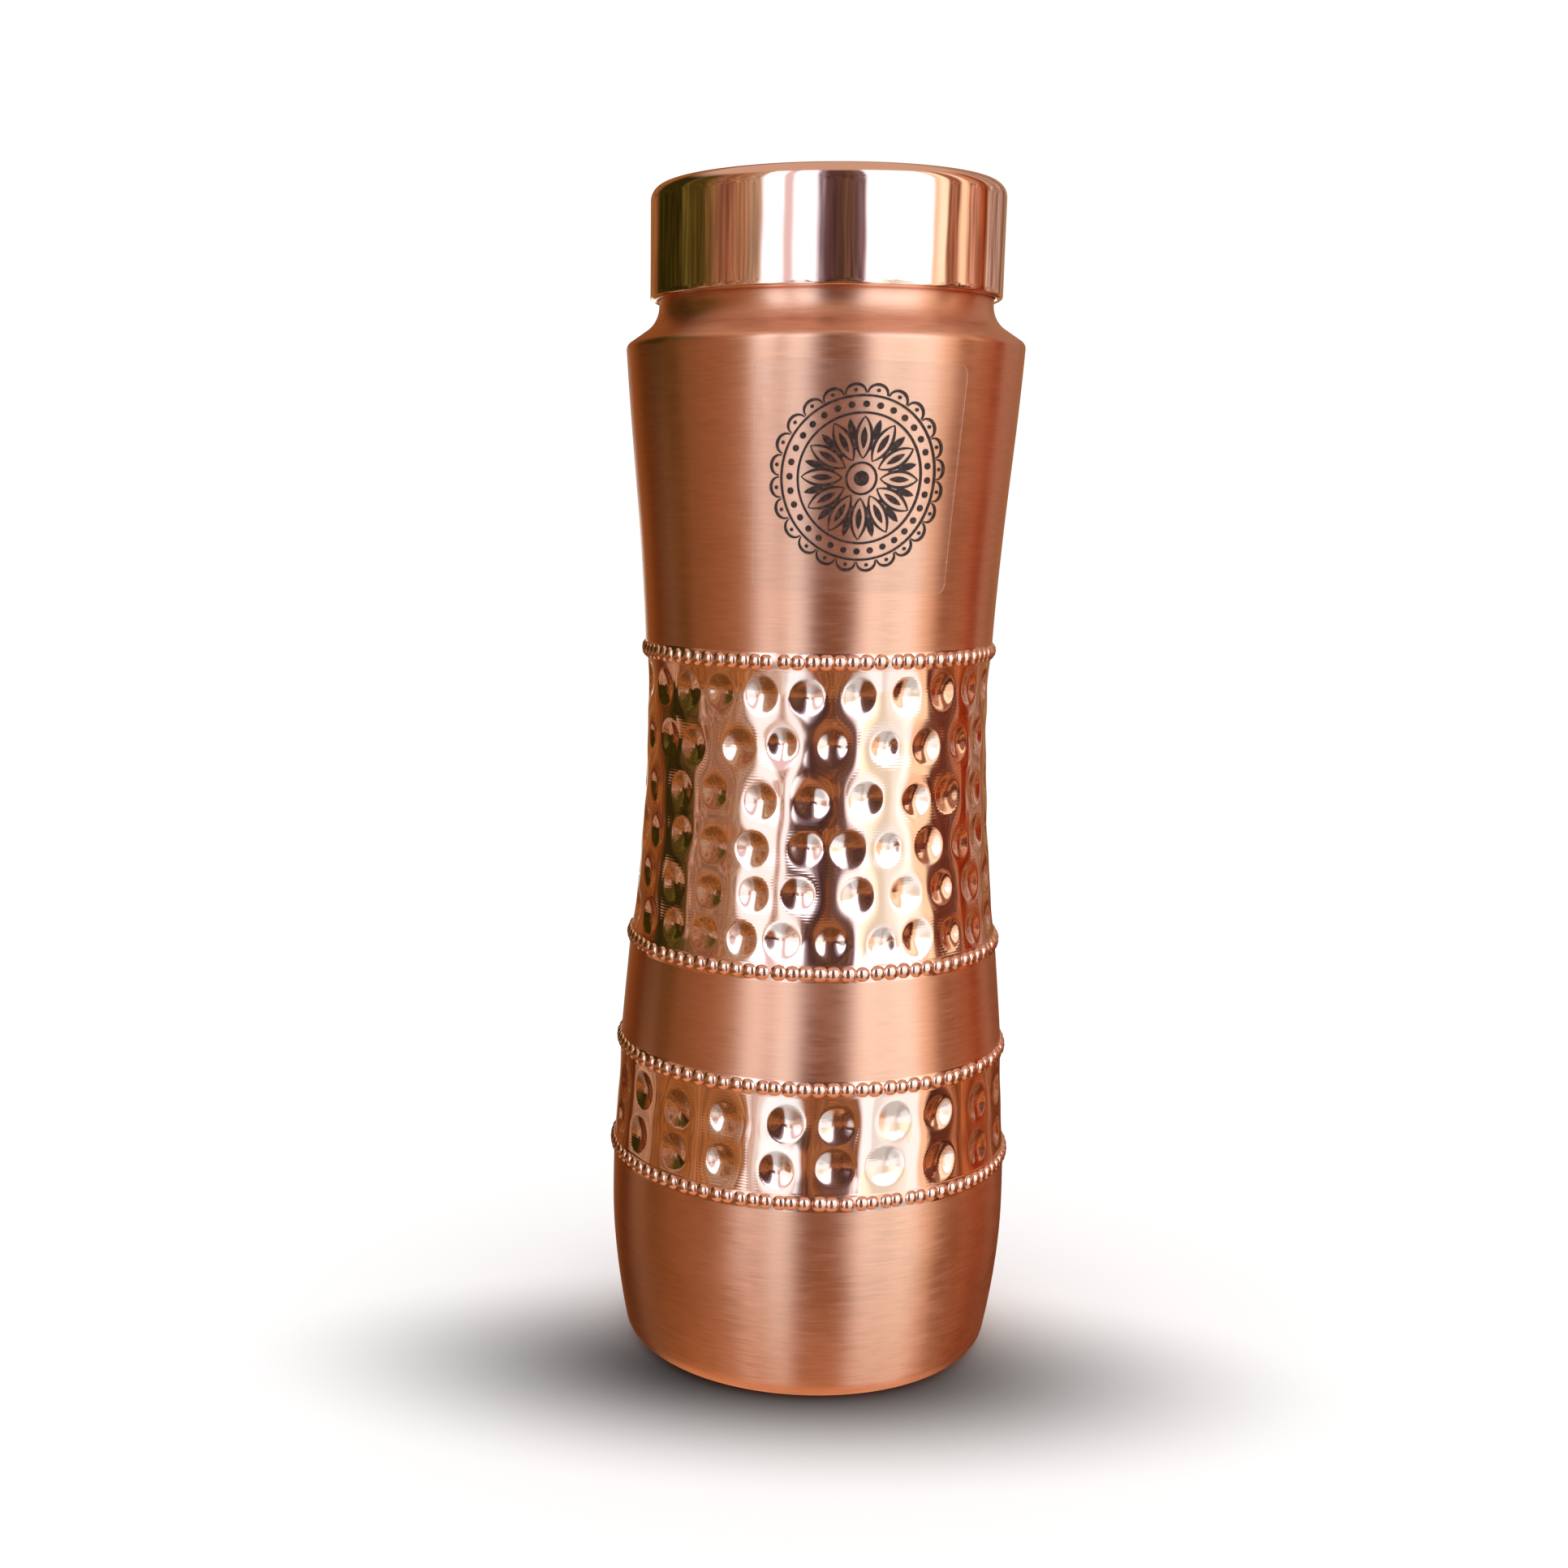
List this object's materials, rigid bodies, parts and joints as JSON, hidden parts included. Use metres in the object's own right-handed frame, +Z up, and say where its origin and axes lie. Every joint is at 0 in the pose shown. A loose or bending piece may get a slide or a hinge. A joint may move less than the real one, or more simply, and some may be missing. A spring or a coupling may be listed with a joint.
{
  "type": "copper water bottle",
  "caption": "Waisted copper water bottle with beaded rows, hammered bands, a clear label and a polished screw cap that turns and rises on its thread.",
  "frame": {"origin": "centre of the standing ring, on the surface that the bottle stands on", "axes": "+Z up along the bottle's axis; the label faces -Y; +X is to the right of the label as it is read"},
  "size_m": [0.0784, 0.0784, 0.2206],
  "materials": {
    "satin_copper": "brushed satin copper with polished hammered bands",
    "polished_copper": "mirror polished copper",
    "turned_copper": "turned copper, semi-bright",
    "braze": "braze metal, dull",
    "clear_film": "clear glossy film",
    "print_ink": "dark brown printed ink",
    "silicone": "milky silicone, matt"
  },
  "bodies": {
    "bottle": {"body_shell": "satin_copper", "base_pan": "satin_copper", "base_braze": "braze", "neck_collar": "turned_copper", "neck_braze": "braze", "label_film": "clear_film", "label_print": "print_ink"},
    "seal": {"gasket": "silicone"},
    "cap": {"cap_shell": "polished_copper", "cap_thread_ring": "turned_copper", "cap_braze": "braze"}
  },
  "joints": [
    {"name": "cap_rise", "type": "slide", "parent": "bottle", "child": "seal", "axis": [0, 0, 1], "range_m": [0, 0.02201]},
    {"name": "cap_turn", "type": "hinge", "parent": "seal", "child": "cap", "pos_m": [0, 0, 0.21], "axis": [0, 0, 1], "range_deg": [0, 1980]}
  ],
  "couplings": [
    {"joint": "cap_rise", "follows": "cap_turn", "m_per_rad": 0.00063662}
  ]
}
